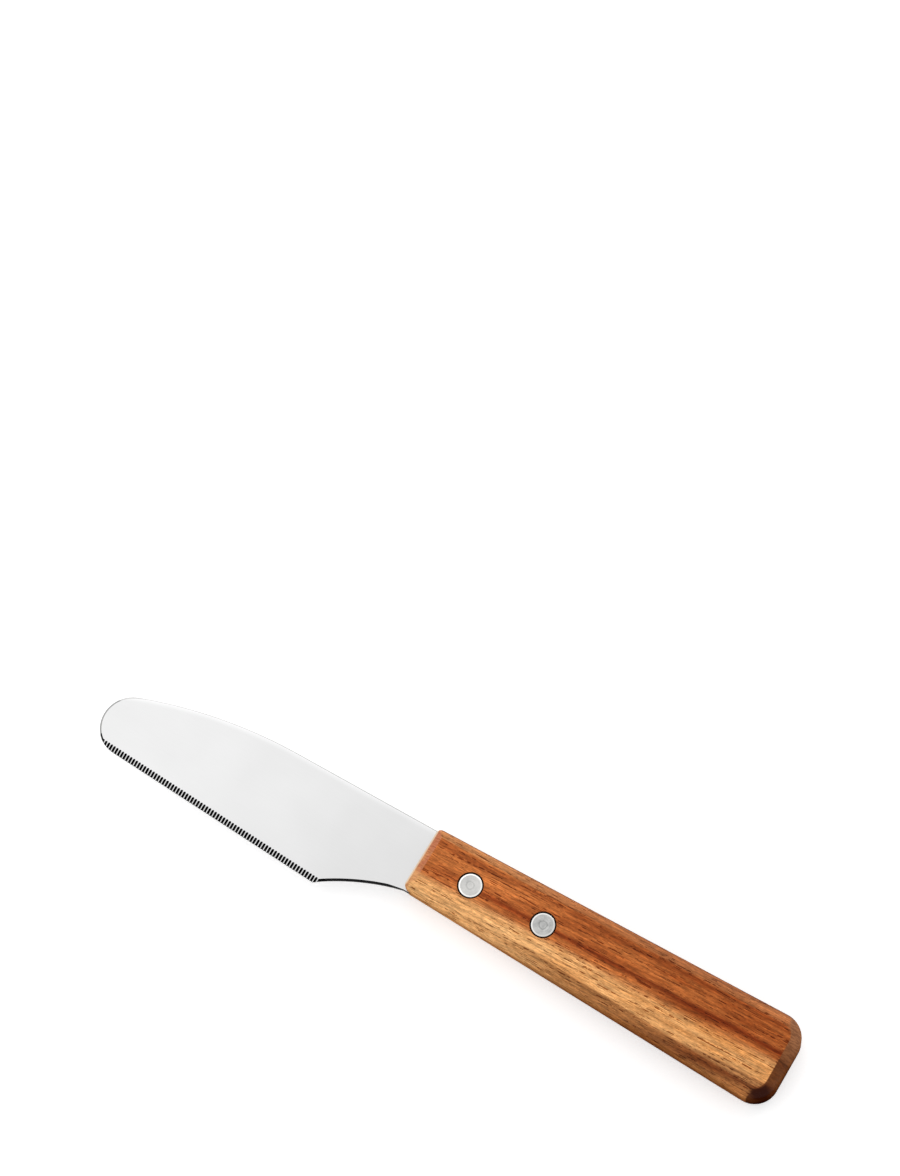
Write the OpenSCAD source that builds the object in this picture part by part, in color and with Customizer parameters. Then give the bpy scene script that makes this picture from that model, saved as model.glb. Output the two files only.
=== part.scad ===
// Butter knife with a fine toothed edge and a riveted wooden handle.
// The steel plate's half tang sits in a blind mortise in the handle.
// The knife lies on the handle's lower face, blade to -X, butt to +X,
// back of the blade to +Y and toothed edge to -Y.

/* [Handle] */
// Length of the wooden handle
handle_length = 101; // [88:0.5:125]
// Width across the front end of the handle
handle_front_width = 16.9; // [15.6:0.1:19]
// Width across the butt end of the handle
handle_butt_width = 22.2; // [19:0.1:28]
// Thickness of the handle between its two broad faces
handle_thickness = 11; // [9.5:0.1:15]
// Rounding of the edges round both broad faces
handle_edge_radius = 3; // [1.2:0.1:3.2]
// How far that rounding reaches in from the butt, where it is sanded wider
butt_round_reach = 3.2; // [2:0.1:4]
// Corner radius at the front end, seen on the broad face
front_corner_radius = 1.4; // [1:0.1:2.5]
// Corner radius at the butt, seen on the broad face
butt_corner_radius = 6; // [4:0.1:8]

/* [Blade] */
// Reach of the blade in front of the handle
blade_reach = 89; // [76:0.5:105]
// Thickness of the steel plate
blade_thickness = 1.2; // [0.9:0.05:1.8]
// Back of the blade above the handle's axis, where it meets the handle
back_height = 8; // [7:0.1:8.4]
// How far the straight back falls towards the axis before the tip curve
back_fall = 0.5; // [0:0.1:1.5]
// Length of the straight back, from the handle to the tip curve
back_length = 41; // [30:0.5:55]
// Radius of the round nose
nose_radius = 7; // [5:0.1:8]
// Neck below the handle's axis, where it meets the handle
neck_depth = 8.7; // [7:0.1:9]
// Depth that the neck's shoulders are let into the handle's front end
shoulder_seat = 1.5; // [1.2:0.1:3]
// Distance of the heel corner in front of the handle
heel_reach = 20.9; // [15:0.1:26]
// Depth of the heel corner below the handle's axis, before it is rounded
heel_depth = 18.22; // [15:0.01:22]
// Rounding of the heel corner, seen on the flat
heel_radius = 2.5; // [1.5:0.5:6]
// Hollow curve from the heel corner up to the neck
choil_radius = 62; // [40:1:90]
// Slope of the toothed edge against the handle's axis, in degrees
edge_slope = 2.6; // [1:0.1:5]

/* [Teeth] */
// Width of the ground band along the edge
band_width = 1.35; // [1.1:0.05:2.2]
// Thickness left on the edge between two flutes
edge_thickness = 0.15; // [0.1:0.01:0.22]
// Distance from one flute to the next
flute_pitch = 0.87; // [0.75:0.01:1.3]
// Radius of one ground flute
flute_radius = 0.28; // [0.2:0.01:0.3]
// Lean of the flutes off square to the edge, towards the heel, in degrees
flute_lean = 8; // [0:0.5:12]
// How far past the heel corner the first flute is ground
first_flute_past_heel = 1.2; // [0:0.05:1.5]

/* [Tang] */
// Length of the hidden tang behind the neck
tang_length = 56; // [50:0.5:70]
// Width of the hidden tang
tang_width = 11; // [8.5:0.1:12]
// Clearance round the tang in its mortise
mortise_clearance = 0.1; // [0.05:0.01:0.2]
// Extra depth of the mortise past the tang's end
mortise_end_gap = 0.6; // [0.2:0.1:2]

/* [Rivets] */
// Distance of the front rivet behind the handle's front face
front_rivet_x = 14.5; // [10:0.1:18]
// Offset of the front rivet from the handle's axis
front_rivet_y = -0.3; // [-1:0.1:1]
// Distance of the rear rivet in front of the tang's end
rear_rivet_inset = 21.5; // [18:0.1:24]
// Offset of the rear rivet from the handle's axis
rear_rivet_y = 0.2; // [-1:0.1:1]
// Diameter of a rivet head
head_diameter = 5.8; // [5.2:0.1:6.6]
// Thickness of a rivet head
head_thickness = 1.2; // [0.8:0.1:1.6]
// Bevel round the rim of a rivet head
head_rim = 0.25; // [0.1:0.05:0.4]
// Diameter of the shallow dish that the riveting tool leaves in a head
dish_diameter = 3; // [2:0.1:4]
// Depth of that dish
dish_depth = 0.12; // [0.05:0.01:0.3]
// Depth of a rivet head below the broad face of the wood
head_recess = 0.05; // [0.02:0.01:0.2]
// Gap between a rivet head and the wood round it
head_gap = 0.25; // [0.1:0.05:0.4]
// Outer diameter of the hollow rivet half
tube_diameter = 4; // [3.6:0.1:4.6]
// Diameter of the solid rivet half
pin_diameter = 2.5; // [1.8:0.1:2.8]
// Clearance between the pin and the tube
pin_clearance = 0.04; // [0.02:0.01:0.08]
// Clearance round the tube in the wood and the steel
tube_clearance = 0.1; // [0.05:0.01:0.2]
// Space left past the tube's end and past the pin's end
rivet_end_gap = 0.3; // [0.1:0.05:0.6]

/* [Hidden] */

// Cuts run past the faces that they open by this much
overrun = 1;
// Points on each quarter round of the handle's edges
edge_steps = 8;
// Points on each arc of the blade's outline, and on the heel's short one
arc_steps = 24;
heel_steps = 8;

blade_bottom = (handle_thickness - blade_thickness) / 2;
bevel_angle = atan2(blade_thickness - edge_thickness, band_width);

// Points of an arc round a centre, from one angle to another, without the point it starts at
function arc_points(centre, radius, from, to, steps = arc_steps) = [
    for (i = [1 : steps])
        centre + radius * [cos(from + (to - from) * i / steps),
                           sin(from + (to - from) * i / steps)]
];
function angle_of(v) = atan2(v.y, v.x);

// The back runs straight from the neck and then bends over into the tip curve
back_slope = asin(back_fall / back_length);
back_start = [0, back_height];
back_end = [-back_length, back_height - back_fall];
back_inward = [sin(back_slope), -cos(back_slope)];

// The toothed edge runs straight from the heel corner and meets the nose in a tangent
heel = [-heel_reach, -heel_depth];
edge_ahead = [-cos(edge_slope), sin(edge_slope)];
nose_x = nose_radius - blade_reach;
nose_y = heel.y + (nose_radius - (nose_x - heel.x) * sin(edge_slope)) / cos(edge_slope);
nose = [nose_x, nose_y];
straight_edge = (nose - heel) * edge_ahead;
serrated_length = straight_edge + 0.6 * nose_radius;
ground_length = straight_edge + nose_radius;

// The tip curve is tangent to the back and to the nose
tip_reach = back_end - nose;
tip_radius = (tip_reach * tip_reach - nose_radius ^ 2)
    / (-2 * (tip_reach * back_inward + nose_radius));
tip_centre = back_end + tip_radius * back_inward;

// The choil is an arc from the heel corner to the neck, hollow towards the edge side
neck = [0, -neck_depth];
choil_chord = neck - heel;
choil_rise = sqrt(choil_radius ^ 2 - choil_chord * choil_chord / 4);
choil_centre = (heel + neck) / 2
    + choil_rise * [choil_chord.y, -choil_chord.x] / norm(choil_chord);

// The heel corner is rounded in a tangent to the toothed edge and to the choil
above_heel = heel + heel_radius * [sin(edge_slope), cos(edge_slope)] - choil_centre;
heel_run = sqrt((above_heel * edge_ahead) ^ 2 - above_heel * above_heel
    + (choil_radius + heel_radius) ^ 2) - above_heel * edge_ahead;
heel_centre = choil_centre + above_heel + heel_run * edge_ahead;

// Bottom centre of the whole knife's box, which is the part's origin
box_middle = [
    (handle_length - blade_reach) / 2,
    (handle_butt_width / 2 + heel_centre.y - heel_radius) / 2
];

module place() {
    translate([-box_middle.x, -box_middle.y, 0]) children();
}

// Plate of the blade, from its neck to its tip
module blade_outline() {
    tip_turn = angle_of(nose - tip_centre);
    choil_start = angle_of(heel_centre - choil_centre);
    choil = arc_points(choil_centre, choil_radius, choil_start, angle_of(neck - choil_centre));
    polygon(concat(
        [[shoulder_seat, back_height], back_start, back_end],
        arc_points(tip_centre, tip_radius, 90 + back_slope, tip_turn),
        arc_points(nose, nose_radius, tip_turn, 270 - edge_slope),
        arc_points(heel_centre, heel_radius, 270 - edge_slope, 180 + choil_start, heel_steps),
        choil,
        [[shoulder_seat, -neck_depth]]
    ));
}

// Round-ended tang; grown by a clearance it is the shape of the mortise
module tang_outline(clearance, end_gap) {
    half = tang_width / 2 + clearance;
    straight = tang_length + end_gap - half;
    translate([0, -half]) square([straight, 2 * half]);
    translate([straight, 0]) circle(r = half, $fn = 96);
}

// One point on the toothed edge, counted from the heel corner, with +Y into the blade
module on_edge(along) {
    spot = heel + along * edge_ahead;
    translate([spot.x, spot.y, blade_bottom])
        rotate([0, 0, -edge_slope])
            children();
}

// Wedge that grinds the band's slope into the upper face; it runs out through nose and choil
module bevel_cut() {
    on_edge(ground_length)
        rotate([90, 0, 90])
            linear_extrude(ground_length + band_width + overrun)
                polygon([
                    [0, edge_thickness],
                    [band_width, blade_thickness],
                    [band_width, blade_thickness + overrun],
                    [-overrun, blade_thickness + overrun],
                    [-overrun, edge_thickness]
                ]);
}

// One flute, ground down the slope of the band and out through the edge
module flute_cut(along) {
    on_edge(along)
        translate([0, 0, edge_thickness])
            rotate([0, 0, -flute_lean])
                rotate([bevel_angle - 90, 0, 0])
                    translate([0, 0, -overrun])
                        cylinder(r = flute_radius, h = 2 * overrun + band_width / cos(bevel_angle),
                            $fn = 12);
}

// The two rivets' axes
module at_front_rivet() {
    translate([front_rivet_x, front_rivet_y, 0]) children();
}
module at_rear_rivet() {
    translate([tang_length - rear_rivet_inset, rear_rivet_y, 0]) children();
}
module tube_hole() {
    translate([0, 0, -overrun])
        cylinder(d = tube_diameter + 2 * tube_clearance, h = handle_thickness + 2 * overrun,
            $fn = 48);
}

// Steel plate as stamped and bevelled: blade, neck and hidden tang in one
module bevelled_plate() {
    difference() {
        translate([0, 0, blade_bottom])
            linear_extrude(blade_thickness) {
                blade_outline();
                tang_outline(0, 0);
            }
        bevel_cut();
        at_front_rivet() tube_hole();
        at_rear_rivet() tube_hole();
    }
}

module blade() {
    color("gainsboro") place() difference() {
        bevelled_plate();
        for (along = [-first_flute_past_heel : flute_pitch : serrated_length])
            flute_cut(along);
    }
}

// Post with rounded ends; four of them pulled together make the handle's block
module corner_post(x, y, radius, reach) {
    across = min(radius, reach);
    top = handle_thickness - handle_edge_radius;
    translate([x, y, 0])
        rotate_extrude($fn = 48)
            polygon(concat(
                [[0, 0]],
                [for (i = [0 : edge_steps]) [
                    radius - across + across * sin(90 * i / edge_steps),
                    handle_edge_radius * (1 - cos(90 * i / edge_steps))
                ]],
                [for (i = [0 : edge_steps]) [
                    radius - across + across * cos(90 * i / edge_steps),
                    top + handle_edge_radius * sin(90 * i / edge_steps)
                ]],
                [[0, handle_thickness]]
            ));
}

module handle_block() {
    hull()
        for (side = [-1, 1]) {
            corner_post(front_corner_radius,
                side * (handle_front_width / 2 - front_corner_radius),
                front_corner_radius, handle_edge_radius);
            corner_post(handle_length - butt_corner_radius,
                side * (handle_butt_width / 2 - butt_corner_radius),
                butt_corner_radius, butt_round_reach);
        }
}

// Bore for the tube, with a seat for a rivet head in each broad face
module rivet_bore() {
    seat = head_recess + head_thickness;
    tube_hole();
    for (bottom = [-overrun, handle_thickness - seat])
        translate([0, 0, bottom])
            cylinder(d = head_diameter + 2 * head_gap, h = seat + overrun, $fn = 64);
}

// One block of wood, slit across its front end for the neck, with a blind mortise for the tang
module handle() {
    color("peru") place() difference() {
        handle_block();
        translate([0, 0, blade_bottom - mortise_clearance])
            linear_extrude(blade_thickness + 2 * mortise_clearance) {
                tang_outline(mortise_clearance, mortise_end_gap);
                translate([-overrun, -handle_front_width])
                    square([overrun + shoulder_seat + mortise_clearance, 2 * handle_front_width]);
            }
        at_front_rivet() rivet_bore();
        at_rear_rivet() rivet_bore();
    }
}

// Half profile of a rivet head whose face looks up, from the axis round to the shank's seat
function head_profile(face) = [
    [0, face - dish_depth],
    [dish_diameter / 2, face],
    [head_diameter / 2 - head_rim, face],
    [head_diameter / 2, face - head_rim],
    [head_diameter / 2, face - head_thickness]
];

// Hollow half of a rivet, with its head in the upper face
module rivet_tube() {
    face = handle_thickness - head_recess;
    tube_end = head_recess + head_thickness + rivet_end_gap;
    bore = pin_diameter / 2 + pin_clearance;
    rotate_extrude($fn = 64)
        polygon(concat(head_profile(face), [
            [tube_diameter / 2, face - head_thickness],
            [tube_diameter / 2, tube_end],
            [bore, tube_end],
            [bore, face - head_thickness],
            [0, face - head_thickness]
        ]));
}

// Solid half of a rivet, with its head in the lower face
module rivet_pin() {
    face = handle_thickness - head_recess;
    pin_end = head_recess + head_thickness + rivet_end_gap;
    translate([0, 0, handle_thickness]) mirror([0, 0, 1])
        rotate_extrude($fn = 64)
            polygon(concat(head_profile(face), [
                [pin_diameter / 2, face - head_thickness],
                [pin_diameter / 2, pin_end],
                [0, pin_end]
            ]));
}

module front_rivet_tube() {
    color("silver") place() at_front_rivet() rivet_tube();
}
module front_rivet_pin() {
    color("silver") place() at_front_rivet() rivet_pin();
}
module rear_rivet_tube() {
    color("silver") place() at_rear_rivet() rivet_tube();
}
module rear_rivet_pin() {
    color("silver") place() at_rear_rivet() rivet_pin();
}

blade();
handle();
front_rivet_tube();
front_rivet_pin();
rear_rivet_tube();
rear_rivet_pin();
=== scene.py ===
import bpy
import bmesh
from math import asin, atan2, cos, hypot, pi, radians, sin, sqrt
from mathutils import Matrix, Vector


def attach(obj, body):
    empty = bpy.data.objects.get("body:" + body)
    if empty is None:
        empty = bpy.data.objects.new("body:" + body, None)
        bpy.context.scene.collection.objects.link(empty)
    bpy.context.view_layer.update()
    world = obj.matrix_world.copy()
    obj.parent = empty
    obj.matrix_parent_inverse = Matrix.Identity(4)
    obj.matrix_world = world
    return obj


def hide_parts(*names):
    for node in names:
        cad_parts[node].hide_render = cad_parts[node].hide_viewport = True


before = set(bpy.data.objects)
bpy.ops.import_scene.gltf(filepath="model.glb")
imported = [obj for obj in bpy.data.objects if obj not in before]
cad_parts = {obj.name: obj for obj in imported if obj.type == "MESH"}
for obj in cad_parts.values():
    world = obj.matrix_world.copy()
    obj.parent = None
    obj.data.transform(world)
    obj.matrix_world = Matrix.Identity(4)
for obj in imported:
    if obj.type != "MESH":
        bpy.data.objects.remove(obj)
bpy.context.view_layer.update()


# Blade

# One flat plate of stainless steel: blade, neck and the half tang inside the wood.
# It is stamped out, its corners are eased, it is satin finished on both faces, and one face
# is ground along the edge: first the sloping band, then a row of fine flutes across it.

# Sizes in millimetres, measured from the middle of the handle's front face
HANDLE_LENGTH = 101.0
HANDLE_THICKNESS = 11.0
BUTT_WIDTH = 22.2
BLADE_REACH = 89.0
PLATE = 1.2
PLATE_BOTTOM = (HANDLE_THICKNESS - PLATE) / 2
BACK_HEIGHT, BACK_FALL, BACK_LENGTH = 8.0, 0.5, 41.0
NOSE_RADIUS = 7.8
NECK_DEPTH = 8.7
# the heel is sharper than the solid's, and just so deep that both reach equally low
HEEL_REACH, HEEL_DEPTH, HEEL_RADIUS = 20.5, 18.19872, 1.0
CHOIL_RADIUS = 62.0
EDGE_SLOPE = radians(2.6)
SHOULDER_SEAT = 1.5
TANG_LENGTH, TANG_WIDTH = 56.0, 11.0


def arc(centre, radius, start, stop, steps):
    """Points along an arc from one angle to another in so many steps, without its first point."""
    angles = [start + (stop - start) * i / steps for i in range(1, steps + 1)]
    return [(centre[0] + radius * cos(a), centre[1] + radius * sin(a)) for a in angles]


def bearing(start, to):
    """The angle from one point to another."""
    return atan2(to[1] - start[1], to[0] - start[0])


# the choil is an arc through the heel's corner and the neck's lower corner
heel = (-HEEL_REACH, -HEEL_DEPTH)
neck = (0.0, -NECK_DEPTH)
chord = (neck[0] - heel[0], neck[1] - heel[1])
rise = sqrt(CHOIL_RADIUS ** 2 - hypot(*chord) ** 2 / 4) / hypot(*chord)
hollow = ((heel[0] + neck[0]) / 2 + rise * chord[1], (heel[1] + neck[1]) / 2 - rise * chord[0])
# the heel's rounding touches the toothed edge and the choil
above = (heel[0] + HEEL_RADIUS * sin(EDGE_SLOPE) - hollow[0],
         heel[1] + HEEL_RADIUS * cos(EDGE_SLOPE) - hollow[1])
back_along = -above[0] * cos(EDGE_SLOPE) + above[1] * sin(EDGE_SLOPE)
heel_run = sqrt(back_along ** 2 - above[0] ** 2 - above[1] ** 2
                + (CHOIL_RADIUS + HEEL_RADIUS) ** 2) - back_along
heel_centre = (hollow[0] + above[0] - heel_run * cos(EDGE_SLOPE),
               hollow[1] + above[1] + heel_run * sin(EDGE_SLOPE))
# the nose touches the toothed edge's line and reaches the blade's end
nose_x = NOSE_RADIUS - BLADE_REACH
nose = (nose_x,
        heel[1] + (NOSE_RADIUS - (nose_x - heel[0]) * sin(EDGE_SLOPE)) / cos(EDGE_SLOPE))
straight_edge = -(nose[0] - heel[0]) * cos(EDGE_SLOPE) + (nose[1] - heel[1]) * sin(EDGE_SLOPE)
# the curve of the back's front half touches the straight back and the nose
slope = asin(BACK_FALL / BACK_LENGTH)
bend = (-BACK_LENGTH, BACK_HEIGHT - BACK_FALL)
inward = (sin(slope), -cos(slope))
reach = (bend[0] - nose[0], bend[1] - nose[1])
tip_radius = (reach[0] ** 2 + reach[1] ** 2 - NOSE_RADIUS ** 2) / (
    -2 * (reach[0] * inward[0] + reach[1] * inward[1] + NOSE_RADIUS))
tip = (bend[0] + tip_radius * inward[0], bend[1] + tip_radius * inward[1])
# the middle of the whole knife, where the model has its origin
MIDDLE_X = (HANDLE_LENGTH - BLADE_REACH) / 2
MIDDLE_Y = (BUTT_WIDTH / 2 + heel_centre[1] - HEEL_RADIUS) / 2


def placed(x, y, z):
    """A point of the knife, in millimetres from the handle's front, as a point of the model."""
    return Vector(((x - MIDDLE_X) / 1000, (y - MIDDLE_Y) / 1000, z / 1000))


BACK_STEPS = 8


def plate_outline():
    """Back, tip curve, nose, heel, choil, neck and tang, anticlockwise from above."""
    into_nose = bearing(tip, nose)
    onto_edge = 3 * pi / 2 - EDGE_SLOPE
    choil_start = bearing(hollow, heel_centre)
    half = TANG_WIDTH / 2
    end = (TANG_LENGTH - half, 0.0)
    back = [(-BACK_LENGTH * i / BACK_STEPS, BACK_HEIGHT - BACK_FALL * i / BACK_STEPS)
            for i in range(BACK_STEPS + 1)]
    return ([(SHOULDER_SEAT, BACK_HEIGHT)] + back
            + arc(tip, tip_radius, pi / 2 + slope, into_nose, 48)
            + arc(nose, NOSE_RADIUS, into_nose, onto_edge, 64)
            + arc(heel_centre, HEEL_RADIUS, onto_edge, pi + choil_start, 8)
            + arc(hollow, CHOIL_RADIUS, choil_start, bearing(hollow, neck), 40)
            + [(SHOULDER_SEAT, -NECK_DEPTH), (SHOULDER_SEAT, -half), (end[0], -half)]
            + arc(end, half, -pi / 2, pi / 2, 32)
            + [(SHOULDER_SEAT, half)])


def moved_in(points, steps, least_share=0.4):
    """The outline's points moved into the plate, each by its own small step.

    A corner's point moves further than its step, by up to the step over the least share.
    """
    moved = []
    for i, ((x, y), step) in enumerate(zip(points, steps)):
        (ax, ay), (bx, by) = points[i - 1], points[(i + 1) % len(points)]
        first = Vector((x - ax, y - ay)).normalized()
        second = Vector((bx - x, by - y)).normalized()
        inner = Vector((-first.y - second.y, first.x + second.x)).normalized()
        share = max(least_share, inner.dot(Vector((-first.y, first.x))))
        moved.append((x + inner.x * step / share, y + inner.y * step / share))
    return moved


def new_piece(name, shape):
    """A finished bmesh as an object of the scene."""
    mesh = bpy.data.meshes.new(name)
    shape.to_mesh(mesh)
    shape.free()
    piece = bpy.data.objects.new(name, mesh)
    bpy.context.scene.collection.objects.link(piece)
    return piece


def closed_body(name, loops):
    """A closed mesh through rings of points, one above another, with a flat face at each end."""
    shape = bmesh.new()
    rings = [[shape.verts.new(placed(*point)) for point in loop] for loop in loops]
    for lower, upper in zip(rings, rings[1:]):
        for i in range(len(lower)):
            j = (i + 1) % len(lower)
            shape.faces.new((lower[i], lower[j], upper[j], upper[i]))
    shape.faces.new(list(reversed(rings[0])))
    shape.faces.new(rings[-1])
    return new_piece(name, shape)


def mirrored(rings):
    """The rings of a lower half, and the same rings again for the upper half."""
    return rings + [[(x, y, HANDLE_THICKNESS - z) for x, y, z in ring] for ring in reversed(rings)]


def cut_away(piece, cutters):
    """Grinds and drills: each cutter is taken out of the piece, and the piece's mesh is kept."""
    for cutter in cutters:
        step = piece.modifiers.new("cut", "BOOLEAN")
        step.operation = "DIFFERENCE"
        step.solver = "EXACT"
        step.object = cutter
    bpy.context.view_layer.update()
    seen = piece.evaluated_get(bpy.context.evaluated_depsgraph_get())
    finished = bpy.data.meshes.new_from_object(seen)
    piece.modifiers.clear()
    piece.data = finished
    for cutter in cutters:
        bpy.data.objects.remove(cutter)


# A face whose normal is this upright is level
LEVEL = 0.99999


def soften(piece, angle):
    """Smooth shading, kept off the level broad faces and off edges sharper than the angle."""
    mesh = piece.data
    mesh.shade_smooth()
    mesh.set_sharp_from_angle(angle=angle)
    shape = bmesh.new()
    shape.from_mesh(mesh)
    for edge in shape.edges:
        level = [abs(face.normal.z) > LEVEL for face in edge.link_faces]
        if len(level) == 2 and level[0] != level[1]:
            edge.smooth = False
    shape.to_mesh(mesh)
    shape.free()


# How far the plate's corners are rounded over: a little all round, more on the choil and the nose
EASED, CHOIL_EASED, NOSE_EASED = 0.17, 0.58, 0.52
# the lengths over which that grows from the nose's start, the neck and the heel
NOSE_RAMP, NECK_RAMP, HEEL_RAMP = 4.0, 4.0, 1.5
EASING_STEPS = 4
# the plate is smaller by this all round, so that nothing passes the solid
STRICTLY_INSIDE = 0.005


def easing(x, y):
    """How far the plate's corner is rounded over at a point of its outline."""
    if x < nose[0]:
        return EASED + (NOSE_EASED - EASED) * min(1, (nose[0] - x) / NOSE_RAMP)
    if y > 0 or not -HEEL_REACH < x < 0:
        return EASED
    return EASED + (CHOIL_EASED - EASED) * min(1, -x / NECK_RAMP) * min(
        1, (x + HEEL_REACH) / HEEL_RAMP)


plate_points = plate_outline()
eased = [easing(x, y) for x, y in plate_points]
plate_rings = []
for step in range(EASING_STEPS + 1):
    angle = radians(90 * step / EASING_STEPS)
    lift, draw_in = 1 - cos(angle), 1 - sin(angle)
    moved = moved_in(plate_points, [STRICTLY_INSIDE + ease * draw_in for ease in eased])
    plate_rings.append([(x, y, PLATE_BOTTOM + ease * lift) for (x, y), ease in zip(moved, eased)])
blade = closed_body("steel_blade", mirrored(plate_rings))

# The ground band, and what it leaves of the plate's thickness at the edge
BAND_WIDTH = 1.35
EDGE_LEFT = 0.15
# The flutes across it, which lean to the heel
FLUTE_PITCH, FLUTE_RADIUS, FLUTE_LEAN = 0.87, 0.36, radians(8)
# the row starts past the heel and ends part of the way round the nose
PAST_HEEL, NOSE_SHARE = 2.94, 0.6
# the wheel's middle runs this far above the band, so that the flutes are shallow
WHEEL_LIFT = 0.15
# every cutter runs this far past what it cuts
CUT_PAST = 1.0
bevel = atan2(PLATE - EDGE_LEFT, BAND_WIDTH)


def on_edge(along, into=0.0, up=0.0):
    """A point counted along the toothed edge from the heel, into the blade, and above its face."""
    return (heel[0] - along * cos(EDGE_SLOPE) + into * sin(EDGE_SLOPE),
            heel[1] + along * sin(EDGE_SLOPE) + into * cos(EDGE_SLOPE), PLATE_BOTTOM + up)


def band_wedge():
    """What the flat wheel takes off to leave the sloping band."""
    over = PLATE + CUT_PAST
    profile = [(-CUT_PAST, EDGE_LEFT), (0, EDGE_LEFT), (BAND_WIDTH, PLATE), (BAND_WIDTH, over),
               (-CUT_PAST, over)]
    ends = (straight_edge + NOSE_RADIUS, -CUT_PAST - BAND_WIDTH)
    return closed_body("band_wedge", [[on_edge(along, into, up) for into, up in profile]
                                      for along in ends])


def rod(name, start, along, radius, length, sides):
    """A round cutter from a start point, in millimetres, in a direction."""
    way = Vector(along).normalized()
    one = way.cross(Vector((0, 0, 1)) if abs(way.z) < 0.9 else Vector((1, 0, 0))).normalized()
    two = way.cross(one)
    turns = [2 * pi * i / sides for i in range(sides)]
    centres = (Vector(start), Vector(start) + way * length)
    return closed_body(name, [[centre + radius * (one * cos(a) + two * sin(a)) for a in turns]
                              for centre in centres])


def together(name, pieces):
    """Several cutters that don't touch, as one object."""
    shape = bmesh.new()
    for piece in pieces:
        shape.from_mesh(piece.data)
        bpy.data.objects.remove(piece)
    return new_piece(name, shape)


# The rear rivet's inset is counted from the tang's end
FRONT_RIVET_X, FRONT_RIVET_Y = 14.5, -0.3
REAR_RIVET_INSET, REAR_RIVET_Y = 21.5, 0.2
RIVETS = {"front": (FRONT_RIVET_X, FRONT_RIVET_Y),
          "rear": (TANG_LENGTH - REAR_RIVET_INSET, REAR_RIVET_Y)}
TUBE_DIAMETER, TUBE_CLEARANCE = 4.0, 0.1

across_band = Vector((sin(EDGE_SLOPE + FLUTE_LEAN), cos(EDGE_SLOPE + FLUTE_LEAN), 0))
uphill = across_band * cos(bevel) + Vector((0, 0, sin(bevel)))
off_slope = Vector((0, 0, 1)) * cos(bevel) - across_band * sin(bevel)
flute_count = int((straight_edge + NOSE_SHARE * NOSE_RADIUS + PAST_HEEL) / FLUTE_PITCH) + 1
flutes = []
for i in range(flute_count):
    foot = Vector(on_edge(i * FLUTE_PITCH - PAST_HEEL, 0, EDGE_LEFT))
    start = foot - uphill * CUT_PAST + off_slope * WHEEL_LIFT
    flutes.append(rod("flute", start, uphill, FLUTE_RADIUS,
                      2 * CUT_PAST + BAND_WIDTH / cos(bevel), sides=20))
holes = [rod("tube_hole", (x, y, -CUT_PAST), (0, 0, 1), TUBE_DIAMETER / 2 + TUBE_CLEARANCE,
             HANDLE_THICKNESS + 2 * CUT_PAST, sides=48) for x, y in RIVETS.values()]
cut_away(blade, [together("grinding", [band_wedge()] + holes), together("fluting", flutes)])
soften(blade, angle=radians(22))


def node_tools(tree):
    """Two short ways to set up nodes.

    A setting with a capital letter, or in_ and a number, is an input of the node. It takes a value
    or what another node puts out. Every other setting is an option of the node.
    """
    def set_up(node, **settings):
        for key, value in settings.items():
            if key.startswith("in_"):
                socket = node.inputs[int(key[3:])]
            elif key[0].isupper():
                socket = node.inputs[key.replace("_", " ")]
            else:
                setattr(node, key, value)
                continue
            if hasattr(value, "links"):
                tree.links.new(value, socket)
            else:
                socket.default_value = value
        return node

    def add(kind, **settings):
        return set_up(tree.nodes.new("ShaderNode" + kind), **settings)

    return add, set_up


def new_material(name):
    """A new material, its shader, and the two ways to set up its nodes."""
    material = bpy.data.materials.new(name)
    material.use_nodes = True
    return material, material.node_tree.nodes["Principled BSDF"], *node_tools(material.node_tree)


def colour(red, green, blue):
    """A colour written as it shows on a screen, 0 to 255, as the shader wants it."""
    return tuple((value / 255 / 12.92) if value <= 10 else ((value / 255 + 0.055) / 1.055) ** 2.4
                 for value in (red, green, blue)) + (1.0,)


def ramp(add, value, stops):
    """A run of tones through stops, each a position from 0 to 1 and a colour."""
    made = add("ValToRGB", in_0=value)
    elements = made.color_ramp.elements
    elements[0].position, elements[0].color = stops[0]
    elements[-1].position, elements[-1].color = stops[-1]
    for position, tone in stops[1:-1]:
        elements.new(position).color = tone
    return made.outputs[0]


# A painted highlight brightens the front half between the first two distances ahead of the handle,
# and the back's edge between the next two below the back, whose bend is blended over so much to
# each side
FRONT_HALF_FROM, FRONT_HALF_TO = 20.0, 60.0
BACK_HIGHLIGHT_FROM, BACK_HIGHLIGHT_TO = 1.6, 0.1
BEND_BLEND = 1.0


def below_back(add, place, along):
    """How many millimetres a point of the plate lies below the back's edge.

    That is measured from the straight back, and ahead of the bend from the tip curve.
    """
    flat = add("Mapping", Vector=place, Scale=(1000, 1000, 0),
               Location=(MIDDLE_X, MIDDLE_Y, 0)).outputs[0]
    from_tip = add("VectorMath", operation="DISTANCE", in_0=flat, in_1=(*tip, 0))
    below_curve = add("Math", operation="SUBTRACT", in_0=tip_radius,
                      in_1=from_tip.outputs["Value"])
    past_bend = add("VectorMath", operation="SUBTRACT", in_0=flat, in_1=(*bend, 0))
    below_straight = add("VectorMath", operation="DOT_PRODUCT", in_0=past_bend.outputs[0],
                         in_1=(*inward, 0))
    ahead = add("MapRange", Value=along,
                From_Min=(BEND_BLEND - BACK_LENGTH - MIDDLE_X) / 1000,
                From_Max=(-BEND_BLEND - BACK_LENGTH - MIDDLE_X) / 1000)
    return add("Mix", data_type="FLOAT", in_0=ahead.outputs[0],
               in_2=below_straight.outputs["Value"], in_3=below_curve.outputs[0]).outputs[0]


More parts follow.
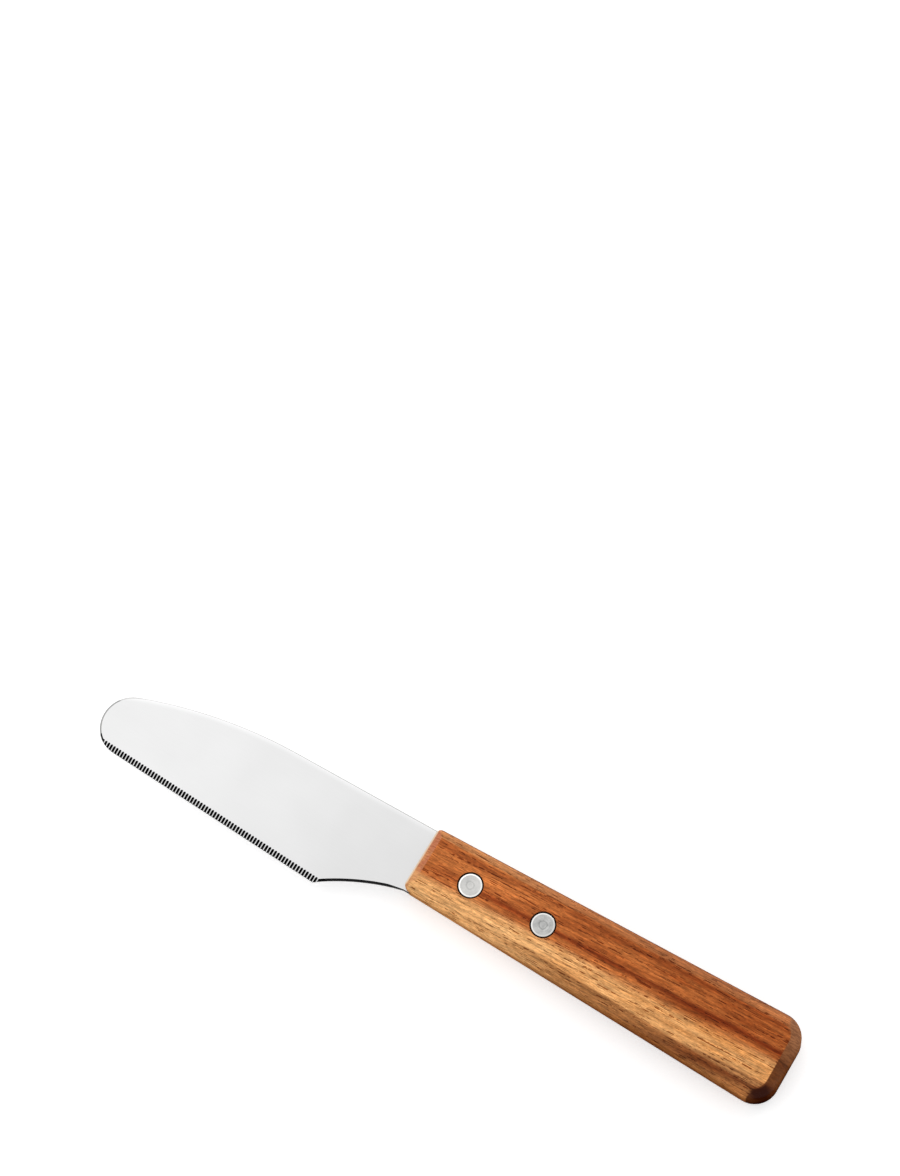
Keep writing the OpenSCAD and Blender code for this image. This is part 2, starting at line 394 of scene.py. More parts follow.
def satin_steel(name, dull, bright, roughness, grain, front=1.0, back_highlight=0.0):
    """Steel with fine satin lines along the blade and faint cloudy patches.

    The lines are as deep as grain, in metres. A painted highlight makes the front half brighter by
    the factor front, and the back's edge brighter by the share after it.
    """
    material, shader, add, set_up = new_material(name)
    place = add("TexCoord").outputs["Object"]
    # long swings along the blade and fine ones across it, a shade off its axis
    stretch = add("Mapping", Vector=place, Scale=(150, 9000, 9000), Rotation=(0, 0, radians(2)))
    lines = add("TexNoise", Vector=stretch.outputs[0], Scale=1.0, Detail=3.0).outputs[0]
    clouds = add("TexNoise", Vector=place, Scale=60.0, Detail=2.0).outputs[0]
    blend = add("Mix", data_type="FLOAT", in_0=0.35, in_2=clouds, in_3=lines)
    tone = ramp(add, blend.outputs[0], [(0.25, dull), (0.75, bright)])
    along = add("SeparateXYZ", Vector=place).outputs[0]
    # painted highlights: the front half and the back's edge are brightened
    forward = add("MapRange", Value=along, From_Min=(-FRONT_HALF_FROM - MIDDLE_X) / 1000,
                  From_Max=(-FRONT_HALF_TO - MIDDLE_X) / 1000, To_Min=1.0, To_Max=front)
    rim = add("MapRange", interpolation_type="SMOOTHSTEP", Value=below_back(add, place, along),
              From_Min=BACK_HIGHLIGHT_FROM, From_Max=BACK_HIGHLIGHT_TO, To_Min=1.0, To_Max=1.0 + back_highlight)
    level = add("Math", operation="MULTIPLY", in_0=forward.outputs[0], in_1=rim.outputs[0])
    lit = add("VectorMath", operation="SCALE", in_0=tone, Scale=level.outputs[0])
    rough = add("MapRange", Value=lines, To_Min=roughness - 0.05, To_Max=roughness + 0.05)
    bump = add("Bump", Strength=0.25, Distance=grain, Height=lines)
    set_up(shader, Base_Color=lit.outputs[0], Metallic=1.0, Roughness=rough.outputs[0],
           Normal=bump.outputs[0])
    return material


# The plate's sides carry painted reflections: painted near black on most of the side, painted paler
# on the nose and on the back's side, and the back's side's front half gets a painted highlight as
# well
PAINTED_PALE_SIDE_DULL, PAINTED_PALE_SIDE_BRIGHT = colour(132, 132, 131), colour(162, 162, 161)
SATIN, SIDE, BAND, FLUTE, NOSE, BACK = range(6)
for steel in (
        satin_steel("blade_satin", colour(203, 203, 203), colour(212, 212, 212),
                    roughness=0.32, grain=0.000003, front=1.05, back_highlight=0.13),
        satin_steel("blade_side_painted_dark", colour(18, 18, 18), colour(44, 44, 45),
                    roughness=0.4, grain=0.00001),
        satin_steel("blade_ground_band", colour(216, 216, 216), colour(238, 238, 238),
                    roughness=0.2, grain=0.000003),
        # the flutes are painted near black as a dark reflection
        satin_steel("blade_flutes", colour(3, 3, 3), colour(9, 9, 9),
                    roughness=0.45, grain=0.000006),
        satin_steel("blade_nose_side", PAINTED_PALE_SIDE_DULL, PAINTED_PALE_SIDE_BRIGHT,
                    roughness=0.4, grain=0.000006),
        satin_steel("blade_back_side", PAINTED_PALE_SIDE_DULL, PAINTED_PALE_SIDE_BRIGHT,
                    roughness=0.4, grain=0.000006, front=1.9)):
    blade.data.materials.append(steel)

# A face whose normal agrees this well with a flat one is part of it
FLAT = 0.9999
# What the wheel leaves of the edge, and how far its flutes reach out of the band: past the
# edge, into the blade, past the heel and past the straight edge
TOOTH_TIP = 0.05
FLUTE_OUT, FLUTE_IN, FLUTE_PAST_HEEL, FLUTE_PAST_EDGE = 0.5, 0.8, 3.0, 6.0
FLUTE_RISE = 0.02
# The back's side lies this far above the toothed edge, and the nose starts this far past its end
BACK_ABOVE_EDGE, NOSE_PAST_EDGE = 12.0, 5.2
band_normal = Vector((-sin(EDGE_SLOPE) * sin(bevel), -cos(EDGE_SLOPE) * sin(bevel), cos(bevel)))
for face in blade.data.polygons:
    spot = face.center * 1000 + Vector((MIDDLE_X - heel[0], MIDDLE_Y - heel[1], 0))
    into = spot.x * sin(EDGE_SLOPE) + spot.y * cos(EDGE_SLOPE)
    along = -spot.x * cos(EDGE_SLOPE) + spot.y * sin(EDGE_SLOPE)
    tooth_tip = abs(into) < TOOTH_TIP and 0 < along < straight_edge
    fluted = (-FLUTE_OUT < into < BAND_WIDTH + FLUTE_IN
              and -FLUTE_PAST_HEEL < along < straight_edge + FLUTE_PAST_EDGE)
    if abs(face.normal.z) > FLAT:
        face.material_index = SATIN
    elif face.normal.dot(band_normal) > FLAT or tooth_tip:
        face.material_index = BAND
    elif fluted and face.normal.z > FLUTE_RISE:
        face.material_index = FLUTE
    elif into > BACK_ABOVE_EDGE:
        face.material_index = BACK
    elif along > straight_edge + NOSE_PAST_EDGE:
        face.material_index = NOSE
    else:
        face.material_index = SIDE
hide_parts("blade")
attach(blade, "root")


# Handle

# One block of oiled hardwood, planed a little wider towards the butt, its edges rounded over
# and sanded by hand. A blind slot in its front end takes the tang, and two stepped holes
# take the rivets. Reddish heartwood on the back's side, golden sapwood on the belly's side.
FRONT_WIDTH = 16.9
# the rounding reaches this far down the sides, and this far in over the broad faces
EDGE_DEPTH = 3.0
FRONT_ROUND, BUTT_ROUND, BELLY_ROUND, BACK_ROUND = 2.8, 3.2, 3.1, 2.4
# the corners' radii, seen from above; the front's shrinks to the least as the rounding draws in
FRONT_CORNER, BUTT_CORNER, LEAST_CORNER = 1.4, 6.0, 0.04
# the rivets' heads lie a little below the wood, in bores whose mouths are broken
HEAD_DIAMETER, HEAD_THICKNESS, HEAD_RECESS, HEAD_GAP = 5.8, 1.2, 0.05, 0.25
BORE_MOUTH = 0.12
TANG_CLEARANCE, SLOT_END_ROOM = 0.1, 0.6
ROUND_STEPS, SIDE_STEPS, TURNED_SIDES = 14, 60, 96


def half_ring(drop, round_over):
    """One long side of the outline, front to butt, drawn in by a share of the rounding."""
    end, side = FRONT_ROUND * drop, round_over * drop
    radius = max(FRONT_CORNER - min(end, side), LEAST_CORNER)
    front = (end + radius, FRONT_WIDTH / 2 - side - radius)
    butt = (HANDLE_LENGTH - BUTT_CORNER, BUTT_WIDTH / 2 - BUTT_CORNER)
    butt_radius = BUTT_CORNER - BUTT_ROUND * drop
    reach = hypot(butt[0] - front[0], butt[1] - front[1])
    lean = asin((butt_radius - radius) / reach) + bearing(front, butt)
    points = [(front[0] - radius, -front[1])]
    points += arc((front[0], -front[1]), radius, -pi, -pi / 2 - lean, 12)
    a, b = points[-1], (butt[0] - butt_radius * sin(lean), -butt[1] - butt_radius * cos(lean))
    points += [(a[0] + (b[0] - a[0]) * i / SIDE_STEPS, a[1] + (b[1] - a[1]) * i / SIDE_STEPS)
               for i in range(1, SIDE_STEPS + 1)]
    return points + arc((butt[0], -butt[1]), butt_radius, -pi / 2 - lean, 0, 24)


block_rings = []
for step in range(ROUND_STEPS + 1):
    fall = pi / 2 * (1 - step / ROUND_STEPS)
    belly, back = half_ring(1 - cos(fall), BELLY_ROUND), half_ring(1 - cos(fall), BACK_ROUND)
    block_rings.append([(x, y, EDGE_DEPTH * (1 - sin(fall)))
                        for x, y in belly + [(x, -y) for x, y in reversed(back)]])
handle = closed_body("wooden_handle", mirrored(block_rings))


def turned(name, profile, sides=TURNED_SIDES):
    """A turned shape about the upright axis, from points (radius, height), the end ones on it."""
    shape = bmesh.new()
    poles = [shape.verts.new((0, 0, profile[end][1] / 1000)) for end in (0, -1)]
    turns = [2 * pi * i / sides for i in range(sides)]
    rings = [[shape.verts.new((radius * cos(a) / 1000, radius * sin(a) / 1000, height / 1000))
              for a in turns] for radius, height in profile[1:-1]]
    for i in range(sides):
        j = (i + 1) % sides
        shape.faces.new((poles[0], rings[0][j], rings[0][i]))
        shape.faces.new((poles[1], rings[-1][i], rings[-1][j]))
        for lower, upper in zip(rings, rings[1:]):
            shape.faces.new((lower[i], lower[j], upper[j], upper[i]))
    return new_piece(name, shape)


def set_at(piece, x, y):
    """Moves what was turned on the model's own axis to a point of the handle."""
    piece.data.transform(Matrix.Translation(placed(x, y, 0)))
    return piece


seat = HEAD_RECESS + HEAD_THICKNESS
seat_radius = HEAD_DIAMETER / 2 + HEAD_GAP
bore_profile = [(0, -CUT_PAST), (seat_radius + BORE_MOUTH, -CUT_PAST),
                (seat_radius + BORE_MOUTH, 0), (seat_radius, BORE_MOUTH), (seat_radius, seat),
                (TUBE_DIAMETER / 2 + TUBE_CLEARANCE, seat)]
bore_profile += [(radius, HANDLE_THICKNESS - height) for radius, height in reversed(bore_profile)]
bores = [set_at(turned("bore", bore_profile), x, y) for x, y in RIVETS.values()]
slot_half = TANG_WIDTH / 2 + TANG_CLEARANCE
slot_end = TANG_LENGTH + SLOT_END_ROOM - slot_half
slit = SHOULDER_SEAT + TANG_CLEARANCE
slot_shape = ([(-CUT_PAST, -FRONT_WIDTH), (slit, -FRONT_WIDTH), (slit, -slot_half),
               (slot_end, -slot_half)]
              + arc((slot_end, 0), slot_half, -pi / 2, pi / 2, 24)
              + [(slit, slot_half), (slit, FRONT_WIDTH), (-CUT_PAST, FRONT_WIDTH)])
mortise = closed_body("mortise", [[(x, y, z) for x, y in slot_shape]
                                  for z in (PLATE_BOTTOM - TANG_CLEARANCE,
                                            PLATE_BOTTOM + PLATE + TANG_CLEARANCE)])
cut_away(handle, [together("bores", bores), mortise])
soften(handle, angle=radians(35))

# The wood's tones. Of a pair, the first is at the front and the second at the butt
HEART = colour(206, 117, 58), colour(171, 89, 38)
HEART_DARK, HEART_PALE = colour(118, 40, 6), colour(228, 140, 76)
SECOND_BAND = colour(124, 50, 16)
SAP = colour(249, 185, 119), colour(230, 159, 92)
SAP_DARK, SAP_PALE = colour(170, 100, 44), colour(252, 206, 146)
# the belly's rounding: browner wood under painted shade; the back's rounding: a tan painted sheen
BELLY_WOOD_AND_SHADE = colour(160, 98, 48), colour(147, 84, 41)
BACK_ROUNDING_SHEEN = colour(194, 138, 90), colour(164, 105, 64)
LOW_STREAK, HIGH_STREAK = colour(108, 46, 14), colour(120, 56, 20)
DARK_STREAK = colour(148, 62, 22), colour(112, 37, 5)
# The butt's end grain from the back to the belly, darker towards the belly by painted shade, and
# what darkens it, with painted shade in the low corner
BUTT_BACK, BUTT_MIDDLE, BUTT_BELLY = colour(162, 108, 72), colour(142, 90, 54), colour(104, 52, 22)
BUTT_FIBRES, BUTT_LINE, BUTT_LOW_CORNER_SHADE = colour(58, 22, 8), colour(56, 28, 12), colour(62, 26, 10)
FRONT_HEART, FRONT_SAP = colour(208, 132, 96), colour(232, 172, 116)
FRONT_PATCH, FRONT_FIBRES = colour(232, 164, 108), colour(150, 74, 46)
FRONT_EDGE_HIGHLIGHT = colour(244, 222, 192)
CORNER_SPOT_SHADE = colour(48, 13, 3)
# What a spot's own tone is multiplied by
# the pale lip beside each pore is a painted highlight
PORE_HIGHLIGHT, PORE = (1.3, 1.4, 1.5), (0.36, 0.22, 0.12)
# painted shade on the back's edge and on the lower sides
BACK_EDGE_SHADE, SHADED_SIDE = (0.4, 0.34, 0.3), (0.6, 0.52, 0.46)
# The grain leans to the back about a point of the axis, in millimetres from the front
GRAIN_LEAN, GRAIN_PIVOT = radians(1.83), 50.0
PORE_SWINGS = (0.12, 3.8, 3.2)
# The middle of the painted shade in the butt's low corner, in millimetres from the front's middle
CORNER_SPOT_MIDDLE = (98.1, -8.1, 0)


def oiled_wood(name):
    """Wood that is the same all through: bands and pores follow the block's lengthwise grain."""
    material, shader, add, set_up = new_material(name)

    def sums(operation):
        return lambda a, b=0.0: add("Math", operation=operation, in_0=a, in_1=b).outputs[0]

    plus, minus, times, size_of = map(sums, ("ADD", "SUBTRACT", "MULTIPLY", "ABSOLUTE"))

    def step_at(value, low, high, least=0.0, most=1.0):
        """Rises softly from least, where the value is low, to most, where it is high."""
        return add("MapRange", interpolation_type="SMOOTHSTEP", Value=value, From_Min=low,
                   From_Max=high, To_Min=least, To_Max=most).outputs[0]

    def band_at(value, low, middle, high):
        """Is 1 in the middle of a band, and falls to 0 at its two sides."""
        return times(step_at(value, low, middle), step_at(value, high, middle))

    def laid(share, under, over):
        """One tone over another; a share of 0 shows what is under and 1 what is over."""
        return add("Mix", data_type="RGBA", in_0=share, in_6=under, in_7=over).outputs[2]

    def tinted(source, by):
        return add("VectorMath", operation="MULTIPLY", in_0=source, in_1=by).outputs[0]

    def noise(vector, swings, seed, detail=2.0, rough=0.5, moved=0.0):
        """Noise with so many swings a millimetre each way; moved shifts it to the back, in mm."""
        stretch = add("Mapping", Vector=vector, Scale=swings,
                      Location=(seed, seed * 0.7 - moved * swings[1], seed * 0.3))
        return add("TexNoise", Vector=stretch.outputs[0], Scale=1.0, Detail=detail,
                   Roughness=rough).outputs[0]

    # the block's own millimetres, and the same turned so that the grain climbs to the back
    block = add("Mapping", Vector=add("TexCoord").outputs["Object"], Scale=(1000, 1000, 1000),
                Location=(MIDDLE_X, MIDDLE_Y, 0)).outputs[0]
    from_front, to_back, _ = add("SeparateXYZ", Vector=block).outputs
    grain = add("Mapping", Vector=block, Rotation=(0, 0, -GRAIN_LEAN),
                Location=(0, GRAIN_PIVOT * GRAIN_LEAN, 0)).outputs[0]
    along, across, up = add("SeparateXYZ", Vector=grain).outputs
    normal = add("NewGeometry").outputs["Normal"]
    faces_butt, faces_back, faces_up = add("SeparateXYZ", Vector=normal).outputs

    # where a point lies across the growth rings, with slow drift along the length
    drift = times(plus(noise(grain, (0.03, 0.04, 0.05), seed=3.1, detail=1.0), -0.5), 1.1)
    waves = noise(grain, (0.07, 0.7, 0.5), seed=7.7, detail=4.0, rough=0.6)
    ripple = times(plus(waves, -0.5), 1.3)
    ring_lean = times(plus(up, -HANDLE_THICKNESS), 0.22)
    ring = plus(plus(plus(across, ring_lean), drift), ripple)
    to_butt = step_at(along, 5, 90)

    # heartwood, paler at the front, with a second dark band near the back
    heart = laid(to_butt, *HEART)
    clouds = noise(grain, (0.05, 0.45, 0.4), seed=1.3, detail=3.0, rough=0.6)
    heart = laid(step_at(clouds, 0.35, 0.65),
                 laid(0.4, heart, HEART_DARK), laid(0.24, heart, HEART_PALE))
    heart = laid(times(band_at(ring, 4.8, 6.4, 7.8), 0.42), heart, SECOND_BAND)
    # sapwood on the belly's side of a soft line
    sap = laid(to_butt, *SAP)
    clouds = noise(grain, (0.06, 0.55, 0.5), seed=5.9, detail=3.0, rough=0.6)
    sap = laid(step_at(clouds, 0.35, 0.65),
               laid(0.22, sap, SAP_DARK), laid(0.25, sap, SAP_PALE))
    wood = laid(step_at(ring, -1.0, -3.9), heart, sap)
    # rounded over, the belly's side shows browner wood towards the butt with painted shade over it,
    # and the back's side a tan painted sheen
    belly_wood_and_shade = times(step_at(faces_back, -0.02, -0.2), step_at(from_front, 12, 58))
    wood = laid(times(belly_wood_and_shade, 0.78), wood, laid(to_butt, *BELLY_WOOD_AND_SHADE))
    back_sheen = times(step_at(faces_back, 0.06, 0.2), 0.6)
    wood = laid(back_sheen, wood, laid(step_at(from_front, 18, 46), *BACK_ROUNDING_SHEEN))
    # two short streaks climb along the belly near the butt
    climbing = plus(plus(to_back, ripple), times(from_front, -0.07))
    low_streak = times(band_at(climbing, -16.6, -14.9, -12.6), step_at(from_front, 54, 86))
    wood = laid(times(low_streak, 0.8), wood, LOW_STREAK)
    high_streak = times(band_at(climbing, -14.4, -13.2, -12.2), step_at(from_front, 70, 84))
    wood = laid(times(high_streak, 0.55), wood, HIGH_STREAK)
    # the dark streak on the axis, faint in front of the first rivet
    streak = times(band_at(ring, -1.1, 0.35, 1.7), step_at(from_front, 4, 24, 0.25, 0.9))
    wood = laid(streak, wood, laid(to_butt, *DARK_STREAK))

    # fibres run the whole length; pores are short dark dashes with a painted highlight beside them
    broad = noise(grain, (0.06, 1.6, 1.3), seed=2.2, detail=4.0, rough=0.65)
    fine = noise(grain, (0.2, 3.0, 2.6), seed=4.6, detail=3.0, rough=0.6)
    flecks = noise(grain, (0.6, 2.2, 2.0), seed=8.8, rough=0.6)
    specks = noise(grain, (1.4, 5.5, 5.0), seed=12.4, rough=0.6)
    shade = times(step_at(broad, 0.3, 0.7, 0.76, 1.22), step_at(fine, 0.3, 0.7, 0.76, 1.23))
    shade = times(shade, step_at(flecks, 0.32, 0.68, 0.84, 1.17))
    shade = times(shade, step_at(specks, 0.32, 0.68, 0.86, 1.14))
    wood = add("VectorMath", operation="SCALE", in_0=wood, Scale=shade).outputs[0]
    gate = step_at(noise(grain, (0.6, 1.3, 1.2), seed=17.0), 0.5, 0.54)
    pores = times(step_at(noise(grain, PORE_SWINGS, seed=11.0), 0.56, 0.59), gate)
    pore_highlights = times(step_at(noise(grain, PORE_SWINGS, seed=11.0, moved=-0.16), 0.56, 0.6), gate)
    wood = laid(pore_highlights, wood, tinted(wood, PORE_HIGHLIGHT))
    wood = laid(pores, wood, tinted(wood, PORE))

    # end grain drinks the oil: brown at the butt, falling to almost black towards the belly by
    # painted shade, with painted shade in the low corner
    cut_fibres = noise(grain, (0.5, 2.6, 0.6), seed=31.0, detail=3.0, rough=0.6)
    butt_end = laid(step_at(to_back, 6, 2), BUTT_BACK, BUTT_MIDDLE)
    butt_end = laid(step_at(plus(to_back, ripple), 2.2, -0.8), butt_end, BUTT_BELLY)
    butt_end = laid(step_at(cut_fibres, 0.4, 0.62, 0.0, 0.45), butt_end, BUTT_FIBRES)
    butt_end = laid(times(band_at(to_back, -0.2, 0.2, 0.6), 0.6), butt_end, BUTT_LINE)
    # painted shade on the corner that turns away from the light
    corner = step_at(times(minus(faces_butt, faces_back), sqrt(0.5)), 0.42, 0.6)
    corner = times(corner, step_at(to_back, -5.2, -7.0))
    butt_end = laid(times(corner, 0.6), butt_end, BUTT_LOW_CORNER_SHADE)
    wood = laid(step_at(faces_butt, 0.12, 0.2, 0.0, 0.94), wood, butt_end)
    # dull pink at the front, with a painted highlight as a pale line along the upper edge
    front_end = laid(step_at(ring, -1.0, -3.0), FRONT_HEART, FRONT_SAP)
    patches = step_at(noise(block, (0.3, 0.45, 0.4), seed=41.0), 0.46, 0.56, 0.0, 0.6)
    front_end = laid(patches, front_end, FRONT_PATCH)
    front_end = laid(step_at(cut_fibres, 0.38, 0.62, 0.0, 0.5), front_end, FRONT_FIBRES)
    front_edge_highlight = times(step_at(faces_butt, -0.7, -0.84), step_at(faces_butt, -0.995, -0.975))
    front_edge_highlight = times(front_edge_highlight, step_at(faces_up, 0.1, 0.25))
    front_end = laid(front_edge_highlight, front_end, FRONT_EDGE_HIGHLIGHT)
    wood = laid(step_at(faces_butt, -0.12, -0.2, 0.0, 0.85), wood, front_end)

    # painted shade: a dark spot on the slopes of the butt's low corner
    away = add("VectorMath", operation="DISTANCE", in_0=tinted(block, (1, 1, 0)), in_1=CORNER_SPOT_MIDDLE)
    corner_spot_shade = times(step_at(plus(away.outputs["Value"], ripple), 2.9, 1.5),
                  step_at(faces_up, 0.985, 0.94))
    wood = laid(times(corner_spot_shade, 0.92), wood, CORNER_SPOT_SHADE)
    # painted shade darkens the back's edge and the lower half of every side
    back_edge_shade = times(step_at(faces_back, 0.84, 0.95), step_at(up, 6, 8))
    wood = laid(back_edge_shade, wood, tinted(wood, BACK_EDGE_SHADE))
    shaded = times(step_at(faces_up, 0.3, 0.12), step_at(up, 8.5, 4.5))
    wood = laid(shaded, wood, tinted(wood, SHADED_SIDE))

    # only the broad faces were rubbed to a sheen
    sheen = step_at(size_of(faces_up), 0.35, 0.8, 0.0, 0.07)
    bump = add("Bump", Strength=0.6, Distance=0.00006, Height=minus(times(broad, 0.6), pores))
    set_up(shader, Base_Color=wood, Roughness=step_at(fine, 0.2, 0.8, 0.36, 0.52),
           Specular_IOR_Level=sheen, Normal=bump.outputs[0])
    return material


def cut_wood(name):
    """The inside of the bores and of the slot, painted dark as shade in the gaps."""
    material, shader, add, set_up = new_material(name)
    gap_shade = add("TexNoise", Vector=add("TexCoord").outputs["Object"], Scale=1500.0)
    tone = ramp(add, gap_shade.outputs[0], [(0.0, colour(26, 14, 8)), (1.0, colour(70, 38, 20))])
    set_up(shader, Base_Color=tone, Roughness=0.9, Specular_IOR_Level=0.1)
    return material


handle.data.materials.append(oiled_wood("handle_wood"))
handle.data.materials.append(cut_wood("handle_cut_wood"))
# A face's middle may lie this far off the surface that it is part of, and a face of the block's
# sides this far off the block's straight outline
A_HAIR, SIDE_SKIN = 0.01, 0.3
for side in handle.data.polygons:
    spot = side.center * 1000 + Vector((MIDDLE_X, MIDDLE_Y, 0))
    height = abs(spot.z - HANDLE_THICKNESS / 2)
    in_bore = height < HANDLE_THICKNESS / 2 - A_HAIR and any(
        hypot(spot.x - x, spot.y - y) < seat_radius + BORE_MOUTH + A_HAIR
        for x, y in RIVETS.values())
    half_width = FRONT_WIDTH / 2 + (BUTT_WIDTH - FRONT_WIDTH) / 2 * spot.x / HANDLE_LENGTH
    in_slot = (height < PLATE / 2 + TANG_CLEARANCE + A_HAIR
               and A_HAIR < spot.x < slot_end + slot_half
               and abs(spot.y) < half_width - SIDE_SKIN)
    side.material_index = 1 if in_bore or in_slot else 0
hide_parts("handle")
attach(handle, "root")


# Rivets

# Two-part rivets of nickel plated steel: a hollow half pressed over a solid half, one head in
# each broad face of the wood. The press leaves a shallow dish and a turned rim, painted bright as
# a highlight.
PIN_DIAMETER, PIN_CLEARANCE, RIVET_END_GAP = 2.5, 0.04, 0.3
DISH_DIAMETER, RIM, RIM_DROP = 3.0, 0.38, 0.12
DISH_DEPTH = {"front": 0.03, "rear": 0.12}
DISH_STEPS, RIM_STEPS = 8, 5

head_face = HANDLE_THICKNESS - HEAD_RECESS
head_under = head_face - HEAD_THICKNESS
stem_end = HEAD_RECESS + HEAD_THICKNESS + RIVET_END_GAP
tube_bore = PIN_DIAMETER / 2 + PIN_CLEARANCE


def head_points(dish):
    """The head's profile from its middle, pressed in by a dish, out to its underside."""
    shares = [i / DISH_STEPS for i in range(DISH_STEPS + 1)]
    angles = [pi / 2 * i / RIM_STEPS for i in range(RIM_STEPS + 1)]
    return ([(DISH_DIAMETER / 2 * share, head_face - dish * (1 - share ** 4)) for share in shares]
            + [(HEAD_DIAMETER / 2 - RIM + RIM * sin(a), head_face - RIM_DROP + RIM_DROP * cos(a))
               for a in angles]
            + [(HEAD_DIAMETER / 2, head_under)])


# The dull mark that the press leaves round the dish, by the share of the head's radius
PRESS_MARK = [(0.0, 0.25), (0.16, 0.0), (0.42, 0.0), (0.5, 1.0), (0.58, 0.0), (1.0, 0.0)]
PRESSED = (0.55, 0.55, 0.55, 1)


def rivet_metal(name, middle, dull, bright, seed, mark):
    """Turned and pressed metal: fine rings round the middle, with cloudy light and dark patches."""
    material, shader, add, set_up = new_material(name)
    local = add("Mapping", Vector=add("TexCoord").outputs["Object"], Scale=(1000, 1000, 1000),
                Location=(MIDDLE_X - middle[0], MIDDLE_Y - middle[1], 0)).outputs[0]
    flat = add("VectorMath", operation="MULTIPLY", in_0=local, in_1=(1, 1, 0))
    out = add("VectorMath", operation="LENGTH", in_0=flat.outputs[0])
    clouds = add("TexNoise", noise_dimensions="4D", Vector=local, W=seed, Scale=0.75,
                 Detail=3.0).outputs[0]
    wobbly = add("Math", operation="ADD", in_0=out.outputs["Value"], in_1=clouds).outputs[0]
    rings = add("TexNoise", noise_dimensions="1D", W=wobbly, Scale=4.0, Detail=2.0)
    blend = add("Mix", data_type="FLOAT", in_0=0.4, in_2=clouds, in_3=rings.outputs[0])
    tone = ramp(add, blend.outputs[0], [(0.34, dull), (0.62, bright)])
    share = add("Math", operation="DIVIDE", in_0=wobbly, in_1=HEAD_DIAMETER / 2)
    pressed = ramp(add, share.outputs[0],
                   [(at, (level, level, level, 1)) for at, level in PRESS_MARK])
    marked = add("Math", operation="MULTIPLY", in_0=pressed, in_1=mark)
    ringed = add("Mix", data_type="RGBA", blend_type="MULTIPLY", in_0=marked.outputs[0],
                 in_6=tone, in_7=PRESSED)
    set_up(shader, Base_Color=ringed.outputs[2], Metallic=1.0, Roughness=0.42)
    return material


def rim_highlight_metal(name, tone):
    """The turned rim, smoother than the face and painted bright as a highlight."""
    material, shader, add, set_up = new_material(name)
    set_up(shader, Base_Color=tone, Metallic=1.0, Roughness=0.2)
    return material


rivet_metals = {
    "front": (rivet_metal("rivet_face_front", RIVETS["front"], colour(178, 178, 176),
                          colour(203, 202, 199), seed=2.0, mark=0.35),
              rim_highlight_metal("rivet_rim_highlight_front", colour(241, 240, 237))),
    "rear": (rivet_metal("rivet_face_rear", RIVETS["rear"], colour(150, 151, 150),
                         colour(192, 192, 190), seed=9.0, mark=0.6),
             rim_highlight_metal("rivet_rim_highlight_rear", colour(214, 213, 210))),
}
for end, (x, y) in RIVETS.items():
    head = head_points(DISH_DEPTH[end])
    tube_profile = head + [(TUBE_DIAMETER / 2, head_under), (TUBE_DIAMETER / 2, stem_end),
                           (tube_bore, stem_end), (tube_bore, head_under), (0, head_under)]
    pin_profile = head + [(PIN_DIAMETER / 2, head_under), (PIN_DIAMETER / 2, stem_end),
                          (0, stem_end)]
    tube = turned(end + "_rivet_tube_metal", list(reversed(tube_profile)))
    pin = turned(end + "_rivet_pin_metal",
                 [(radius, HANDLE_THICKNESS - height) for radius, height in pin_profile])
    for piece, node in ((tube, end + "_rivet_tube"), (pin, end + "_rivet_pin")):
        set_at(piece, x, y)
        for metal in rivet_metals[end]:
            piece.data.materials.append(metal)
        for side in piece.data.polygons:
            spot = side.center * 1000 + Vector((MIDDLE_X - x, MIDDLE_Y - y, 0))
            outer = hypot(spot.x, spot.y) > HEAD_DIAMETER / 2 - RIM
            side.material_index = 1 if outer and abs(side.normal.z) < FLAT else 0
        soften(piece, angle=radians(35))
        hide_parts(node)
        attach(piece, "root")


# Table, light and view

# A pale table top in a pale room, as in a small product studio, with one large soft lamp beyond
# the blade and a small one low behind. The camera looks down from above the butt.

# The table is 8 m wide and lies 0.1 mm below the knife. What the camera sees of it is lifted to
# white by a glow that lights nothing, and the room looks whiter than the light it gives
TABLE_HALF, TABLE_BELOW = 4, 0.0001
TABLE_GLOW = 0.42
ROOM_LIGHT, ROOM_SEEN = 0.74, 1.0
WHITE = (1, 1, 1, 1)


def seen_ray(add):
    """1 where the camera sees a thing itself, in gloss or through glass, and 0 for its light."""
    path = add("LightPath").outputs
    direct = add("Math", operation="MAXIMUM", in_0=path["Is Camera Ray"],
                 in_1=path["Is Glossy Ray"])
    return add("Math", operation="MAXIMUM", in_0=direct.outputs[0],
               in_1=path["Is Transmission Ray"]).outputs[0]


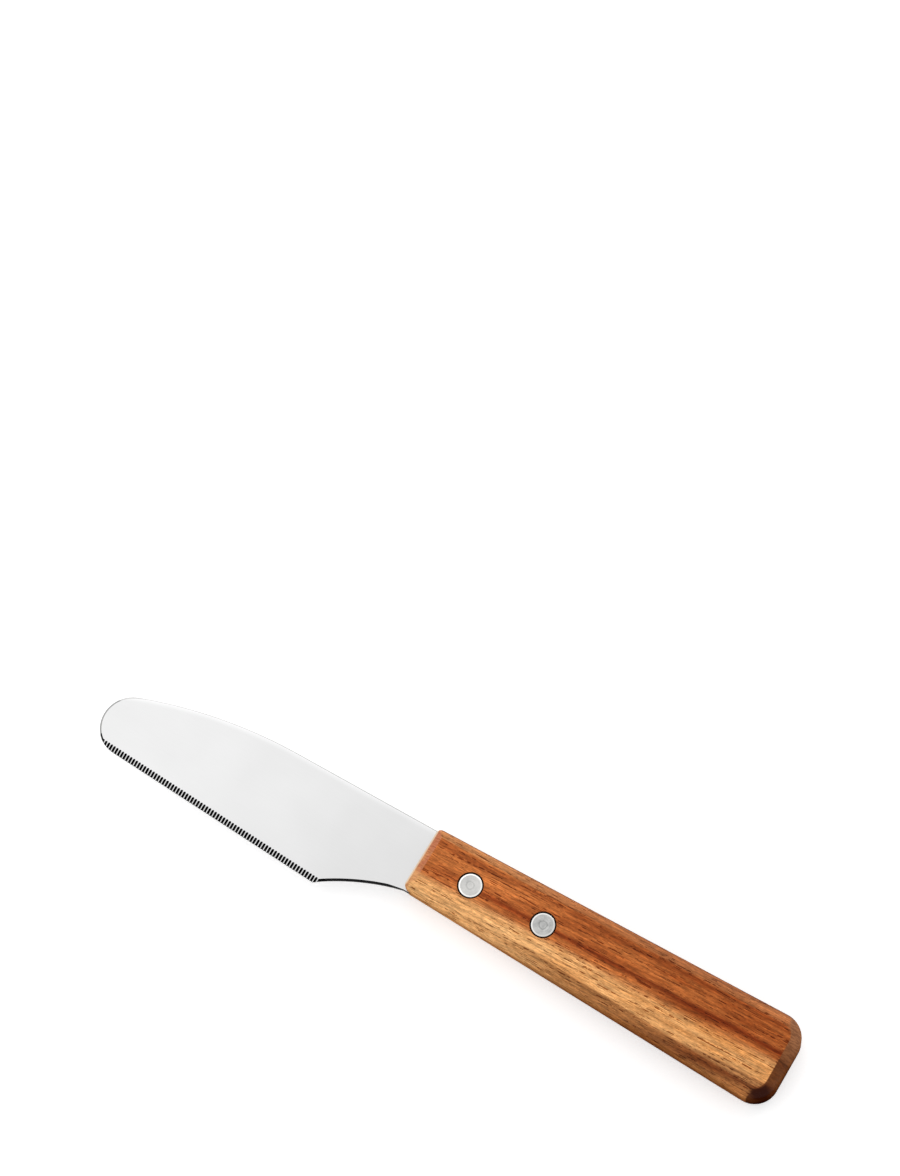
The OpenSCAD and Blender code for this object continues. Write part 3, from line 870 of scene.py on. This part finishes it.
floor_mesh = bpy.data.meshes.new("table_top")
floor_mesh.from_pydata([(x * TABLE_HALF, y * TABLE_HALF, 0)
                        for x, y in ((-1, -1), (1, -1), (1, 1), (-1, 1))], [], [(0, 1, 2, 3)])
floor = bpy.data.objects.new("table_top", floor_mesh)
floor.location.z = -TABLE_BELOW
bpy.context.scene.collection.objects.link(floor)
white, white_shader, add, set_up = new_material("table_white")
glow = add("Math", operation="MULTIPLY", in_0=seen_ray(add), in_1=TABLE_GLOW)
set_up(white_shader, Base_Color=(0.9, 0.9, 0.9, 1), Roughness=0.9, Specular_IOR_Level=0.0,
       Emission_Color=WHITE, Emission_Strength=glow.outputs[0])
floor_mesh.materials.append(white)

room = bpy.data.worlds.new("room")
bpy.context.scene.world = room
room.use_nodes = True
add, set_up = node_tools(room.node_tree)
strength = add("MapRange", Value=seen_ray(add), To_Min=ROOM_LIGHT, To_Max=ROOM_SEEN)
set_up(room.node_tree.nodes["Background"], Color=WHITE, Strength=strength.outputs[0])


LAMPS_LOOK_AT = Vector((0.04, 0, 0))


def soft_lamp(name, place, width, power):
    """A square lamp that looks at the handle."""
    lamp = bpy.data.lights.new(name, "AREA")
    lamp.shape = "SQUARE"
    lamp.size = width
    lamp.energy = power
    holder = bpy.data.objects.new(name, lamp)
    holder.location = place
    look = LAMPS_LOOK_AT - Vector(place)
    holder.rotation_euler = look.to_track_quat("-Z", "Y").to_euler()
    bpy.context.scene.collection.objects.link(holder)


soft_lamp("lamp_left", (-0.95, 0.25, 0.85), width=2.0, power=5.1)
soft_lamp("lamp_low_back", (0.15, 1.0, 0.35), width=0.5, power=2.7)

camera_data = bpy.data.cameras.new("camera")
camera_data.lens = 86.657
camera_data.sensor_width = 36
camera = bpy.data.objects.new("camera", camera_data)
camera.location = (0.14097, -0.1034, 0.6726)
camera.rotation_euler = (radians(19.5464), radians(5.3886), radians(31.4046))
bpy.context.scene.collection.objects.link(camera)
bpy.context.scene.camera = camera
bpy.context.scene.view_settings.view_transform = "Standard"
